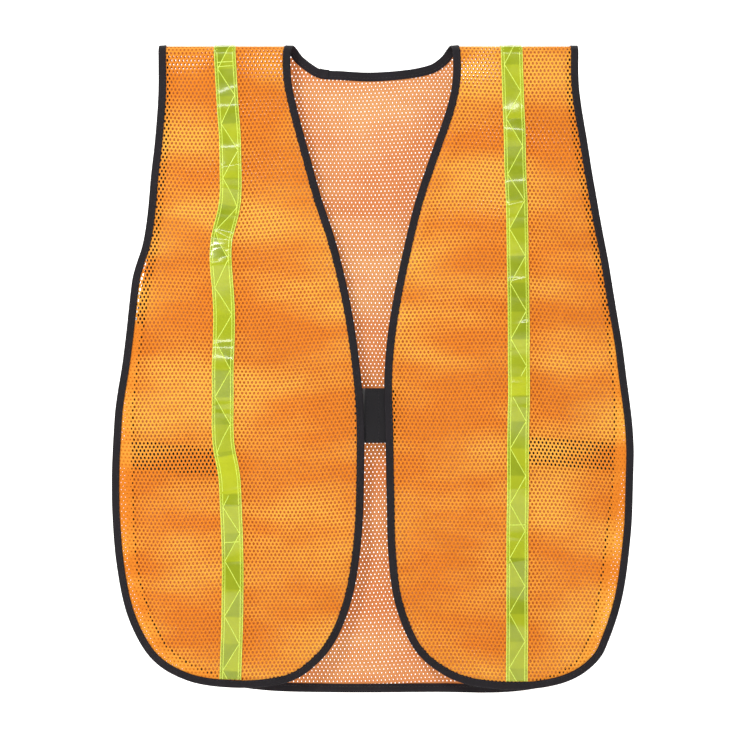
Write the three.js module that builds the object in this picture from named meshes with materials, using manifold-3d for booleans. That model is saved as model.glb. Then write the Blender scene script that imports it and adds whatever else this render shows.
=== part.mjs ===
// High visibility vest: orange knitted mesh, black edge binding, two lime reflective tapes,
// a hook-and-loop closure at the chest and one folded elastic strap at each side.
// Millimetres, +Z up, the front faces -Y and the origin is on the shoulder line, midway.
// Left and right are the wearer's, so the wearer's left is +X.
import * as THREE from 'three';
import Module from 'manifold-3d';
import { mergeVertices } from 'three/addons/utils/BufferGeometryUtils.js';

const wasm = await Module();
wasm.setup();

// ---- driving dimensions -------------------------------------------------
const FOLD_RADIUS = 8; // the cloth turns over the shoulder on this radius
const SHOULDER_Z = -FOLD_RADIUS - 0.4; // height where the turn starts, front and back
const FOLD_LENGTH = Math.PI * FOLD_RADIUS;
const HINGE_GAP = 0.5; // each side of the shoulder hinge line
const MESH_THICKNESS = 0.8;
const BINDING_OUTSIDE = 6.8; // width of the tape's leaf on the outer face
const BINDING_INSIDE = 8; // and on the inner face
const BINDING_CLEAR = 0.3; // between the tape and the mesh in it
const BINDING_TAPE = 0.6;
const BINDING_WEB = 0.7;
const STRIPE_WIDTH = 20;
const STRIPE_BACKING = [0.7, 1.0]; // heights above the middle of the mesh
const STRIPE_FACE = [1.2, 1.5];
const TAB_HEIGHT = 50.8;
const TAB_MIDDLE_Z = -343.6;
const TAB_THICKNESS = 1;
const TAB_Y = -6.4; // the face that lies on the binding
const STRAP_WIDTH = 25.4;
const STRAP_THICKNESS = 1.2;
const STRAP_MIDDLE_Z = -378;
const STRAP_HINGE_GAP = 0.9;
const STRAP_BACK_CLEAR = 2.9; // the open pivot at the back's side edge

// ---- materials ----------------------------------------------------------
const material = (color, roughness) => new THREE.MeshStandardMaterial({ color, roughness, metalness: 0 });
const orangeMesh = () => material(0xee8430, 0.85);
const blackTape = () => material(0x262325, 0.8);
const limeBacking = () => material(0x9fbe2c, 0.5);
const limeFace = () => material(0xbfdc45, 0.15);
const blackThread = () => material(0x1c1a1c, 0.7);

// ---- the cloth surface --------------------------------------------------
// A place on the cloth is x and s. s is 0 on the front hinge line, grows over the shoulder
// and goes on down the back; below the hinge line on the front it is negative.
const onFront = (x, z) => new THREE.Vector3(x, z - SHOULDER_Z, 0);
const frontHinge = (x) => new THREE.Vector3(x, -HINGE_GAP, 0);
const backHinge = (x) => new THREE.Vector3(x, HINGE_GAP, 0);
const overTop = (x, share) => new THREE.Vector3(x, share * FOLD_LENGTH, 0);
const onBack = (x, z) => new THREE.Vector3(x, FOLD_LENGTH + SHOULDER_Z - z, 0);

function clothPoint(x, s) {
  if (s <= 0) return new THREE.Vector3(x, -FOLD_RADIUS, SHOULDER_Z + s);
  if (s >= FOLD_LENGTH) return new THREE.Vector3(x, FOLD_RADIUS, SHOULDER_Z - (s - FOLD_LENGTH));
  const turn = s / FOLD_RADIUS;
  return new THREE.Vector3(x, -FOLD_RADIUS * Math.cos(turn), SHOULDER_Z + FOLD_RADIUS * Math.sin(turn));
}

function clothNormal(s) {
  const turn = THREE.MathUtils.clamp(s, 0, FOLD_LENGTH) / FOLD_RADIUS;
  return new THREE.Vector3(0, -Math.cos(turn), Math.sin(turn));
}

// A point that is some way into the cloth from a place on its edge, and above or below it.
function offCloth({ x, s, intoX, intoS }, depth, height) {
  const along = s + intoS * depth;
  return clothPoint(x + intoX * depth, along).addScaledVector(clothNormal(along), height);
}

// Places along an edge, each with the way into the cloth. Every edge runs with the cloth on
// its left, seen from in front. Over the shoulder every fine step is kept, and on the flat
// cloth one in stride.
const FINE_STEP = 2.5;

function edgePlaces(points, side = 1, stride = 6) {
  const curve = new THREE.CatmullRomCurve3(points, false, 'centripetal');
  curve.arcLengthDivisions = 1000;
  const steps = stride * Math.ceil(curve.getLength() / (FINE_STEP * stride));
  const flat = curve.getSpacedPoints(steps);
  const places = flat.map(({ x, y }, i) => {
    const along = flat[Math.min(i + 1, steps)].clone().sub(flat[Math.max(i - 1, 0)]).normalize();
    return { x, s: y, intoX: along.y * side, intoS: -along.x * side };
  });
  const overShoulder = (s) => s > 0 && s < FOLD_LENGTH + FINE_STEP;
  return places.filter(({ s }, i) => i % stride === 0 || overShoulder(s));
}

// ---- solids -------------------------------------------------------------
function volumeOf(geometry) {
  const p = geometry.attributes.position;
  const index = geometry.index.array;
  const [a, b, c] = [new THREE.Vector3(), new THREE.Vector3(), new THREE.Vector3()];
  let sum = 0;
  for (let i = 0; i < index.length; i += 3) {
    a.fromBufferAttribute(p, index[i]);
    b.fromBufferAttribute(p, index[i + 1]);
    c.fromBufferAttribute(p, index[i + 2]);
    sum += a.dot(b.cross(c));
  }
  return sum / 6;
}

// Joins rings of points into a closed solid, with the given triangles as its ends.
function loft(rings, cap) {
  const count = rings[0].length;
  const positions = rings.flat().flatMap(({ x, y, z }) => [x, y, z]);
  const faces = [];
  for (let ring = 0; ring + 1 < rings.length; ring += 1) {
    for (let k = 0; k < count; k += 1) {
      const a = ring * count + k;
      const b = ring * count + ((k + 1) % count);
      faces.push(a, b, b + count, a, b + count, a + count);
    }
  }
  const last = (rings.length - 1) * count;
  for (const [a, b, c] of cap) faces.push(a, c, b, last + a, last + b, last + c);
  const geometry = new THREE.BufferGeometry();
  geometry.setAttribute('position', new THREE.Float32BufferAttribute(positions, 3));
  geometry.setIndex(faces);
  if (volumeOf(geometry) < 0) {
    for (let i = 0; i < faces.length; i += 3) [faces[i + 1], faces[i + 2]] = [faces[i + 2], faces[i + 1]];
    geometry.setIndex(faces);
  }
  return geometry;
}

// Sweeps a closed section, given counterclockwise as [into the cloth, above it], along an edge.
function sweep(section, places) {
  const corners = section.map(([u, v]) => new THREE.Vector2(u, v));
  const cap = THREE.ShapeUtils.triangulateShape(corners, []);
  return loft(places.map((place) => section.map(([u, v]) => offCloth(place, u, v))), cap);
}

// A U, open towards the cloth, with its leaves in as many parts as they need to follow a turn.
function bindingSection(parts = 1) {
  const inner = MESH_THICKNESS / 2 + BINDING_CLEAR;
  const outer = inner + BINDING_TAPE;
  const leaf = (from, to, height) => Array.from({ length: parts + 1 }, (_, i) =>
    [from + ((to - from) * i) / parts, height]);
  return [
    ...leaf(0, BINDING_INSIDE, -outer), ...leaf(BINDING_INSIDE, BINDING_WEB, -inner),
    ...leaf(BINDING_WEB, BINDING_OUTSIDE, inner), ...leaf(BINDING_OUTSIDE, 0, outer),
  ];
}

const ribbonSection = (width, [low, high]) => [
  [-width / 2, low], [width / 2, low], [width / 2, high], [-width / 2, high],
];

// A flat slab in the XZ plane from y = low to y = low + thickness.
function slab(outline, low, thickness) {
  const shape = new THREE.Shape(outline.map(([x, z]) => new THREE.Vector2(x, z)));
  const geometry = new THREE.ExtrudeGeometry(shape, { depth: thickness, bevelEnabled: false });
  geometry.rotateX(Math.PI / 2);
  geometry.translate(0, low + thickness, 0);
  return geometry;
}

function box(xs, ys, zs) {
  const geometry = new THREE.BoxGeometry(xs[1] - xs[0], ys[1] - ys[0], zs[1] - zs[0]);
  geometry.translate((xs[0] + xs[1]) / 2, (ys[0] + ys[1]) / 2, (zs[0] + zs[1]) / 2);
  return geometry;
}

function toManifold(geometry) {
  const bare = geometry.clone();
  bare.deleteAttribute('normal');
  bare.deleteAttribute('uv');
  const merged = mergeVertices(bare, 1e-4);
  return new wasm.Manifold(new wasm.Mesh({
    numProp: 3,
    vertProperties: new Float32Array(merged.attributes.position.array),
    triVerts: new Uint32Array(merged.index.array),
  }));
}

function fromManifold(solid) {
  const mesh = solid.getMesh();
  const geometry = new THREE.BufferGeometry();
  geometry.setAttribute('position', new THREE.Float32BufferAttribute(mesh.vertProperties, 3));
  geometry.setIndex(Array.from(mesh.triVerts));
  return geometry;
}

const group = new THREE.Group();

function add(name, geometry, look) {
  const mesh = new THREE.Mesh(geometry, look);
  mesh.name = name;
  group.add(mesh);
}

// ---- edges of the cut cloth --------------------------------------------
// Right front: from the armhole down the side, round the foot and up the centre to the neck.
const rightFrontEdge = [
  frontHinge(-200.5), ...[[-200.8, -50], [-205.4, -107], [-213.7, -181], [-224, -218], [-233.1, -292],
  [-239.2, -329], [-242, -366], [-243.2, -408], [-239.6, -477], [-227.6, -533], [-205.4, -570], [-174, -588.4],
  [-137, -594.8], [-100, -594], [-73, -587.5], [-50, -570], [-36, -551.3], [-21.7, -514], [-13, -459],
  [-10.3, -403], [-10.3, -340], [-14.8, -292], [-23.6, -237], [-37, -181], [-49, -144], [-59.2, -107],
  [-73.5, -54], [-78, -31]].map(([x, z]) => onFront(x, z)), frontHinge(-78.6),
];

// Left front: from the neck down the centre, round the foot and up the side to the armhole.
const leftFrontEdge = [
  frontHinge(72), ...[[72, -30], [67.5, -55], [50, -107], [38, -144], [28.7, -181], [16.7, -237],
  [11, -274], [8.6, -311], [10, -360], [11.1, -420], [12.2, -470], [17.6, -514], [31.5, -551.3],
  [45.3, -570], [74, -588.4], [102, -595], [132, -596.8], [159, -594.6], [186, -586.3], [207.5, -569],
  [217.3, -549], [228.2, -514], [235.8, -459], [238.8, -403], [239.3, -366], [230.3, -292], [218.3, -218],
  [205.4, -144], [196.1, -89], [188.4, -37]].map(([x, z]) => onFront(x, z)), frontHinge(188),
];

// Back: up over the right shoulder, down the right side, along the hem and up over the left one.
const backEdge = [
  backHinge(-200.5), overTop(-200.5, 0.5),
  ...[
    [-200.3, SHOULDER_Z], [-199.5, -50], [-203, -107], [-210, -181], [-219, -230], [-228, -292],
    [-233.2, -340], [-232.6, -424], [-229.5, -481], [-221, -519], [-205, -557], [-185, -577],
    [-155, -591.5], [-110, -599.5], [-40, -602.3], [60, -602.3], [115, -602.3], [150, -598.5], [176, -590.5],
    [195, -577], [206, -556], [215.5, -519], [220.5, -481], [225, -443], [229, -405], [231.3, -339],
    [226.5, -280], [216, -215], [203, -144], [193.5, -89], [187.2, -37], [188, SHOULDER_Z],
  ].map(([x, z]) => onBack(x, z)),
  overTop(188, 0.5), backHinge(188),
];

// Neck: over the left shoulder, along the back of the neck and over the right shoulder.
const neckEdge = [
  backHinge(72), overTop(70, 0.5), onBack(63, SHOULDER_Z),
  ...[[54, -15.4], [41, -19.2], [24, -21.6], [-5, -23.2], [-32, -21.8], [-51, -20.2], [-61.5, -13.6]]
    .map(([x, z]) => onBack(x, z)),
  onBack(-68, SHOULDER_Z), overTop(-75.6, 0.5), backHinge(-78.6),
];

// On the fronts s grows upwards, so the way into the cloth is on the other side.
const rightFront = edgePlaces(rightFrontEdge, -1);
const leftFront = edgePlaces(leftFrontEdge, -1);
const backOuter = edgePlaces(backEdge);
const neckOuter = edgePlaces(neckEdge, 1, 4);

// The mesh stops inside the binding's fold.
function meshEdge(places) {
  const shift = BINDING_WEB + BINDING_CLEAR;
  return places.map(({ x, s, intoX, intoS }) => ({ x: x + intoX * shift, s: s + intoS * shift }));
}

function frontMesh(places) {
  const outline = meshEdge(places).map(({ x, s }) => [x, Math.min(s, -HINGE_GAP) + SHOULDER_Z]);
  return slab(outline, -FOLD_RADIUS - MESH_THICKNESS / 2, MESH_THICKNESS);
}

// Where the edge is at one distance over the shoulder.
function xAt(places, s) {
  for (let i = 0; i + 1 < places.length; i += 1) {
    const [a, b] = [places[i], places[i + 1]];
    if ((a.s - s) * (b.s - s) <= 0 && a.s !== b.s) return a.x + ((b.x - a.x) * (s - a.s)) / (b.s - a.s);
  }
  return places[0].s < places[places.length - 1].s ? places[0].x : places[places.length - 1].x;
}

// The cloth over one shoulder, from the front hinge line to a little way down the back.
function shoulderMesh(armPlaces, neckPlaces) {
  const steps = 10;
  const overlap = 3;
  const rings = [];
  for (let i = 0; i <= steps + 1; i += 1) {
    const s = i > steps ? FOLD_LENGTH + overlap : HINGE_GAP + (FOLD_LENGTH - HINGE_GAP) * (i / steps);
    const [from, to] = [xAt(armPlaces, s), xAt(neckPlaces, s)].sort((a, b) => a - b);
    rings.push({ from, to, s });
  }
  const half = MESH_THICKNESS / 2;
  const corners = ({ from, to, s }) => [[from, -half], [to, -half], [to, half], [from, half]]
    .map(([x, height]) => clothPoint(x, s).addScaledVector(clothNormal(s), height));
  return loft(rings.map(corners), [[0, 1, 2], [0, 2, 3]]);
}

function backMesh() {
  const [outer, neck] = [meshEdge(backOuter), meshEdge(neckOuter)];
  const half = (places, first) => (first
    ? places.slice(0, Math.floor(places.length / 2))
    : places.slice(Math.floor(places.length / 2)));
  const onFlatBack = (places) => [
    [xAt(half(places, true), FOLD_LENGTH), SHOULDER_Z],
    ...places.filter(({ s }) => s > FOLD_LENGTH + 0.1).map(({ x, s }) => [x, SHOULDER_Z + FOLD_LENGTH - s]),
    [xAt(half(places, false), FOLD_LENGTH), SHOULDER_Z],
  ];
  const outline = [...onFlatBack(outer), ...onFlatBack(neck)];
  const flat = toManifold(slab(outline, FOLD_RADIUS - MESH_THICKNESS / 2, MESH_THICKNESS));
  const right = toManifold(shoulderMesh(half(outer, true), half(neck, false)));
  const left = toManifold(shoulderMesh(half(outer, false), half(neck, true)));
  return fromManifold(flat.add(right).add(left));
}

// ---- mesh and binding ---------------------------------------------------
add('back_mesh', backMesh(), orangeMesh());
add('left_front_mesh', frontMesh(leftFront), orangeMesh());
add('right_front_mesh', frontMesh(rightFront), orangeMesh());
add('back_edge_binding', sweep(bindingSection(), backOuter), blackTape());
add('back_neck_binding', sweep(bindingSection(4), neckOuter), blackTape());
add('left_front_binding', sweep(bindingSection(), leftFront), blackTape());
add('right_front_binding', sweep(bindingSection(), rightFront), blackTape());

// The end of the binding tape laps over its start at the back of the neck.
const LAP = { from: -52, to: -40, height: [1.5, 2.0], depth: [0.5, 6.6] };
const lapPlaces = neckOuter.filter(({ x, s }) => x > LAP.from && x < LAP.to && s > FOLD_LENGTH);
const lapSection = [
  [LAP.depth[0], -LAP.height[1]], [LAP.depth[1], -LAP.height[1]],
  [LAP.depth[1], -LAP.height[0]], [LAP.depth[0], -LAP.height[0]],
];
add('binding_lap', sweep(lapSection, lapPlaces), blackTape());

// ---- reflective tapes ---------------------------------------------------
// Middle lines. The right one was sewn on with two slight waves.
const leftStripeFront = [frontHinge(126.5), ...[[129, -90], [131.6, -180], [132.8, -300], [131.6, -450],
  [131.2, -589.3]].map(([x, z]) => onFront(x, z))];
const rightStripeFront = [frontHinge(-139), ...[[-136.7, -48], [-133.9, -92], [-134, -147], [-141.8, -180],
  [-142.2, -200], [-139.6, -245], [-140.4, -310], [-140.2, -370], [-134.6, -399], [-132.6, -440],
  [-131.4, -505], [-133.8, -587.2]].map(([x, z]) => onFront(x, z))];
const leftStripeBack = [backHinge(126.5), overTop(126, 0.5), onBack(126, SHOULDER_Z), onBack(129, -200),
  onBack(131, -589.5)];
const rightStripeBack = [backHinge(-139), overTop(-139.3, 0.5), onBack(-139, SHOULDER_Z),
  onBack(-136, -200), onBack(-135, -582.5)];

function addStripe(side, place, points, stride) {
  const places = edgePlaces(points, 1, stride);
  add(`${side}_${place}_stripe_backing`, sweep(ribbonSection(STRIPE_WIDTH, STRIPE_BACKING), places),
    limeBacking());
  add(`${side}_${place}_stripe_face`, sweep(ribbonSection(STRIPE_WIDTH, STRIPE_FACE), places), limeFace());
}

addStripe('left', 'front', leftStripeFront, 12);
addStripe('right', 'front', rightStripeFront, 5);
addStripe('left', 'back', leftStripeBack, 16);
addStripe('right', 'back', rightStripeBack, 16);

// ---- hook-and-loop closure ---------------------------------------------
// Both tabs are sewn to the inside of their front. The hook tab reaches across and lies in front.
const tabSpan = [TAB_MIDDLE_Z - TAB_HEIGHT / 2, TAB_MIDDLE_Z + TAB_HEIGHT / 2];
const HOOK_TAB = { tip: -9.2, flapEnd: 7.6, sewnStart: 9.4, sewnEnd: 19.5 };
const LOOP_TAB = { sewnEnd: -19, sewnStart: -11.4, step: -10.2, tip: 6.4, drop: 1.3 };

add('hook_tab_end', box([HOOK_TAB.sewnStart, HOOK_TAB.sewnEnd], [TAB_Y, TAB_Y + TAB_THICKNESS], tabSpan),
  blackTape());
add('hook_tab_flap', box([HOOK_TAB.tip, HOOK_TAB.flapEnd], [TAB_Y, TAB_Y + TAB_THICKNESS], tabSpan),
  blackTape());

function loopTab() {
  const { sewnEnd, sewnStart, step, tip, drop } = LOOP_TAB;
  const profile = new THREE.Shape([
    [sewnEnd, TAB_Y], [sewnStart, TAB_Y], [step, TAB_Y + drop], [tip, TAB_Y + drop],
    [tip, TAB_Y + drop + TAB_THICKNESS], [step, TAB_Y + drop + TAB_THICKNESS],
    [sewnStart, TAB_Y + TAB_THICKNESS], [sewnEnd, TAB_Y + TAB_THICKNESS],
  ].map(([x, y]) => new THREE.Vector2(x, y)));
  const geometry = new THREE.ExtrudeGeometry(profile, { depth: TAB_HEIGHT, bevelEnabled: false });
  geometry.translate(0, 0, tabSpan[0]);
  return geometry;
}
add('loop_tab', loopTab(), blackTape());

// A box of stitches holds each tab's sewn end.
function tackFrame(xs, zs, low, thickness) {
  const line = 0.9;
  const outline = new THREE.Shape([[xs[0], zs[0]], [xs[1], zs[0]], [xs[1], zs[1]], [xs[0], zs[1]]]
    .map(([x, z]) => new THREE.Vector2(x, z)));
  outline.holes.push(new THREE.Path([
    [xs[0] + line, zs[0] + line], [xs[0] + line, zs[1] - line], [xs[1] - line, zs[1] - line],
    [xs[1] - line, zs[0] + line],
  ].map(([x, z]) => new THREE.Vector2(x, z))));
  const geometry = new THREE.ExtrudeGeometry(outline, { depth: thickness, bevelEnabled: false });
  geometry.rotateX(Math.PI / 2);
  geometry.translate(0, low + thickness, 0);
  return geometry;
}
const TACK_Y = TAB_Y + TAB_THICKNESS + 0.2;
const TACK_THICKNESS = 0.3;
const tackSpan = [tabSpan[0] + 2, tabSpan[1] - 2];
add('hook_tab_tack', tackFrame([11.5, 18.3], tackSpan, TACK_Y, TACK_THICKNESS), blackThread());
add('loop_tab_tack', tackFrame([-18, -12.2], tackSpan, TACK_Y, TACK_THICKNESS), blackThread());

// ---- side straps --------------------------------------------------------
// Each strap is sewn inside the front's side edge, runs inwards, folds and runs back to the
// back's side edge. Positions are given for +X and mirrored by the side's sign.
const STRAPS = {
  left: { sign: 1, sewn: 237.3, hinge: 229, fold: 139, backEnd: 219.5, backSewn: [221.3, 229] },
  right: { sign: -1, sewn: 240.3, hinge: 231.5, fold: 141.5, backEnd: 222, backSewn: [223.8, 231.6] },
};
const strapSpan = [STRAP_MIDDLE_Z - STRAP_WIDTH / 2, STRAP_MIDDLE_Z + STRAP_WIDTH / 2];
const innerFace = FOLD_RADIUS - MESH_THICKNESS / 2 - BINDING_CLEAR - BINDING_TAPE;
const frontLeafY = [-innerFace + 0.3, -innerFace + 0.3 + STRAP_THICKNESS];
const backLeafY = [innerFace - STRAP_BACK_CLEAR - STRAP_THICKNESS, innerFace - STRAP_BACK_CLEAR];
const backEndY = [innerFace - 0.3 - STRAP_THICKNESS, innerFace - 0.3];

for (const [side, strap] of Object.entries(STRAPS)) {
  const spread = (a, b) => [a * strap.sign, b * strap.sign].sort((p, q) => p - q);
  const { sewn, hinge, fold, backEnd, backSewn } = strap;
  add(`${side}_strap_front_end`, box(spread(hinge + STRAP_HINGE_GAP, sewn), frontLeafY, strapSpan), blackTape());
  add(`${side}_strap_front_leaf`, box(spread(fold, hinge - STRAP_HINGE_GAP), frontLeafY, strapSpan), blackTape());
  add(`${side}_strap_back_leaf`, box(spread(fold, backEnd), backLeafY, strapSpan), blackTape());
  add(`${side}_strap_back_end`, box(spread(...backSewn), backEndY, strapSpan), blackTape());
}

export default group;
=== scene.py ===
"""High visibility vest: the looks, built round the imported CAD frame.

A place on the cloth is (x, s): x as in the frame, and s the distance over the cloth. s is 0 on the
front hinge line, grows over the shoulder and on down the back, and is negative down the fronts.
So the whole vest is one flat pattern in (x, s), and every piece is laid out on it and then bent.
"""

import math

import bmesh
import bpy
import numpy as np
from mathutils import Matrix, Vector
from mathutils.kdtree import KDTree


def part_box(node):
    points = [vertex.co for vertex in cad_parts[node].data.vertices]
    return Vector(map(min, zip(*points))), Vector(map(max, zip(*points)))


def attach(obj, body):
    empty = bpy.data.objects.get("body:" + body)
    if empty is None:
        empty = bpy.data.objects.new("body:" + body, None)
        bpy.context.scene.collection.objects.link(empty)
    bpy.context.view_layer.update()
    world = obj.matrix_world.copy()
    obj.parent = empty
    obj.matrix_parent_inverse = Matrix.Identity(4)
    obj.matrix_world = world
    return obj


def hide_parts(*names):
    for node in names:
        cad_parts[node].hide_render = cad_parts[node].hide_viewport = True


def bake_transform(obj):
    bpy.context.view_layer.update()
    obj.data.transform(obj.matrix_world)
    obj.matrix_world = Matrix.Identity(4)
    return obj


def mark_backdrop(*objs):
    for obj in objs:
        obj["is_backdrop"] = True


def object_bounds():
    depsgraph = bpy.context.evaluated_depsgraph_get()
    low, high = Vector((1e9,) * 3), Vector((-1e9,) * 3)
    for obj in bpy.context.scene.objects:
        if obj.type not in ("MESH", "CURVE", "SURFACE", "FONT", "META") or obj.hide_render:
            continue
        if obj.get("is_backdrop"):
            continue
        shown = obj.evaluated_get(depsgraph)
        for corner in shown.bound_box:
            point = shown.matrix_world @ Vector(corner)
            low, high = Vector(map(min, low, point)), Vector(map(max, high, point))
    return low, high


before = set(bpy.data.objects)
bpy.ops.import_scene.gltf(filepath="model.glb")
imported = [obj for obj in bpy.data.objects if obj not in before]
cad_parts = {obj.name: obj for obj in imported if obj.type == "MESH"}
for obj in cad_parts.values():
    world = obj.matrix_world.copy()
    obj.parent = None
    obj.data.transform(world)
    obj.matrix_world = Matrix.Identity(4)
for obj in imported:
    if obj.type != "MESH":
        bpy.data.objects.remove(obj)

CAD_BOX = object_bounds()
MM = 0.001
RNG = np.random.default_rng(7)

# ---- driving sizes, from the frame where it has them --------------------
MESH_THICKNESS = 0.8 * MM
BACK_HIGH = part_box("back_mesh")[1]
FOLD_RADIUS = BACK_HIGH.y - MESH_THICKNESS / 2
SHOULDER_Z = BACK_HIGH.z - MESH_THICKNESS / 2 - FOLD_RADIUS
FOLD_LENGTH = math.pi * FOLD_RADIUS
TOP = FOLD_LENGTH / 2  # the crest of the shoulder, where the fronts and the back are parted

HOLE_PITCH = 3.63 * MM  # holes along a row
ROW_PITCH = 3.35 * MM  # rows down the cloth
HOLE_RADIUS = {"front": 1.14 * MM, "back": 0.55 * MM}
HOLE_WIDE = {"front": 0.89, "back": 0.86}  # a hole's width and height, in radii
HOLE_TALL = {"front": 1.25, "back": 1.35}
HOLE_UNEVEN = 0.05
HOLE_SHUT = 0.72  # how far the holes close where a front reaches out past the back

BINDING_OUTSIDE = 5.8 * MM  # leaf widths past the cloth's edge
BINDING_INSIDE = {"back": 7.0 * MM, "neck": 7.3 * MM, "left": 6.2 * MM, "right": 6.2 * MM}
STRIPE_WIDTH = 20 * MM
STITCH_LINE = 8.4 * MM  # the stitches on a tape, from its middle
THREAD_WIDTH = 0.34 * MM
TAPE_THICKNESS = 0.42 * MM  # of the binding
PAINTED_GLOW = (1.0, 0.25, 0.03)  # painted light: a constant glow in the colour of the fluorescent yarn, which also lifts the shade on the strands seen through the holes
GROUND_GLOW = 0.35  # keeps the ground white behind the vest
WORLD_LIGHT = 0.32

CAMERA_PLACE = (0, -1.6466, -0.306)
BEHIND = (FOLD_RADIUS - CAMERA_PLACE[1]) / (-FOLD_RADIUS - CAMERA_PLACE[1])


# ---- the cloth surface --------------------------------------------------
def smooth(a, b, t):
    t = np.clip((t - a) / (b - a), 0, 1)
    return t * t * (3 - 2 * t)


def unit(vectors):
    return vectors / np.linalg.norm(vectors, axis=-1, keepdims=True)


def heading(points):
    """The unit direction of a run of points at each of them."""
    return unit(np.gradient(points, axis=0))


def reach_of(points):
    """The distance along a run of points at each of them."""
    return np.concatenate([[0], np.cumsum(np.linalg.norm(np.diff(points, axis=0), axis=1))])


def ridge(x, z, where):
    """A soft fold: a long low bump with its middle, direction, half length, half width and height."""
    cx, cz, angle, half_length, half_width, height = where
    turn = math.radians(angle)
    dx, dz = x / MM - cx, z / MM - cz
    along = dx * math.cos(turn) + dz * math.sin(turn)
    across = -dx * math.sin(turn) + dz * math.cos(turn)
    bend = across + 0.0016 * along * along * math.sin(cx * 0.7 + cz)
    return 1.6 * height * MM * np.exp(-((along / half_length) ** 2) - (bend / half_width) ** 2)


# each fold's x, z, angle, half length, half width and height, in millimetres and degrees
RIGHT_FRONT_FOLDS = [
    (-150, -122, 6, 95, 19, 3.2), (-70, -150, -14, 55, 17, 2.2), (-165, -207, 10, 80, 17, 4.6),
    (-70, -218, 8, 60, 19, 2.6), (-150, -300, -6, 85, 21, 4.2), (-60, -330, -24, 60, 20, 2.6),
    (-200, -345, 4, 40, 14, 2.4), (-150, -424, 8, 85, 23, 3.4), (-75, -430, 52, 70, 15, 2.4),
    (-45, -500, 62, 60, 11, 1.8), (-160, -505, -10, 85, 22, 2.4), (-120, -60, 4, 70, 16, 2.0),
]
LEFT_FRONT_FOLDS = [
    (130, -84, -5, 85, 18, 2.6), (110, -152, 9, 80, 18, 3.0), (175, -190, -16, 60, 17, 3.0),
    (80, -236, 14, 70, 18, 3.0), (170, -268, -8, 75, 20, 3.6), (95, -322, 12, 75, 21, 3.6),
    (190, -348, -5, 55, 18, 3.2), (110, -412, -12, 90, 24, 2.8), (60, -470, -48, 60, 14, 2.0),
    (170, -462, 24, 70, 18, 2.6), (120, -540, -6, 80, 20, 2.2),
]
BACK_FOLDS = [
    (0, -62, -4, 70, 16, 2.6), (10, -118, 9, 75, 15, 3.4), (-6, -168, -10, 60, 17, 3.6),
    (8, -226, 8, 60, 15, 3.0), (0, -282, -8, 60, 18, 2.6), (0, -430, 8, 70, 26, 2.4),
    (20, -540, -6, 110, 20, 2.6), (-150, -160, 8, 80, 22, 3.0), (150, -240, -8, 80, 24, 3.4),
    (-140, -330, -8, 90, 24, 3.2), (120, -420, 10, 90, 24, 3.0), (-110, -500, 12, 80, 22, 2.6),
]
# x, z, half width and half height of each place where a tab or strap is sewn on, in millimetres
HELD_FLAT = [(0, -343.6, 62, 50), (238, -378, 46, 38), (-240, -378, 46, 38)]


def held(x, z):
    """0 where a tab or strap holds the cloth flat, 1 well away from it."""
    free = np.ones_like(x)
    for cx, cz, half_x, half_z in HELD_FLAT:
        near = np.exp(-(((x / MM - cx) / half_x) ** 2) - ((z / MM - cz) / half_z) ** 2)
        free = free * (1 - near)
    return free


def lift(x, s):
    """How far the cloth stands out of its plane, outwards."""
    front_z = SHOULDER_Z + np.minimum(s, 0)
    back_z = SHOULDER_Z - np.maximum(s - FOLD_LENGTH, 0)
    right = sum(ridge(x, front_z, fold) for fold in RIGHT_FRONT_FOLDS) * (x < 0)
    left = sum(ridge(x, front_z, fold) for fold in LEFT_FRONT_FOLDS) * (x >= 0)
    back = -sum(ridge(x, back_z, fold) for fold in BACK_FOLDS) * 0.8
    ripple = 0.35 * MM * np.sin(x / (17 * MM) + 3 * np.sin(s / (60 * MM))) * np.sin(s / (23 * MM))
    front = (left + right + ripple) * smooth(0, 45 * MM, -s) * held(x, front_z)
    behind = (back + ripple) * smooth(0, 30 * MM, s - FOLD_LENGTH) * held(x, back_z)
    return np.where(s < TOP, front, behind)


def bent(x, s):
    """The middle of the cloth at (x, s), before any fold lifts it, and its outward normal."""
    turn = np.clip(s, 0, FOLD_LENGTH) / FOLD_RADIUS
    z = SHOULDER_Z + FOLD_RADIUS * np.sin(turn) + np.minimum(s, 0) - np.maximum(s - FOLD_LENGTH, 0)
    point = np.stack([x, -FOLD_RADIUS * np.cos(turn), z], -1)
    normal = np.stack([np.zeros_like(x), -np.cos(turn), np.sin(turn)], -1)
    return point, normal


def lifted(x, s):
    point, normal = bent(x, s)
    return point + normal * lift(x, s)[..., None]


def on_cloth(x, s, height=0.0):
    """A point at a height above the outer face of the lifted cloth."""
    x, s = np.asarray(x, float), np.asarray(s, float)
    step = 0.8 * MM
    across = lifted(x + step, s) - lifted(x - step, s)
    down = lifted(x, s + step) - lifted(x, s - step)
    normal = unit(np.cross(across, down))
    normal *= np.sign((normal * bent(x, s)[1]).sum(-1, keepdims=True))
    return lifted(x, s) + normal * np.asarray(height, float)[..., None]


# ---- outlines, read from the CAD solids ---------------------------------
def place_of(point):
    """(x, s) of a point near the unlifted cloth."""
    x, y, z = point
    if z > SHOULDER_Z:
        return x, math.atan2(z - SHOULDER_Z, -y) * FOLD_RADIUS
    return (x, z - SHOULDER_Z) if y < 0 else (x, FOLD_LENGTH + SHOULDER_Z - z)


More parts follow.
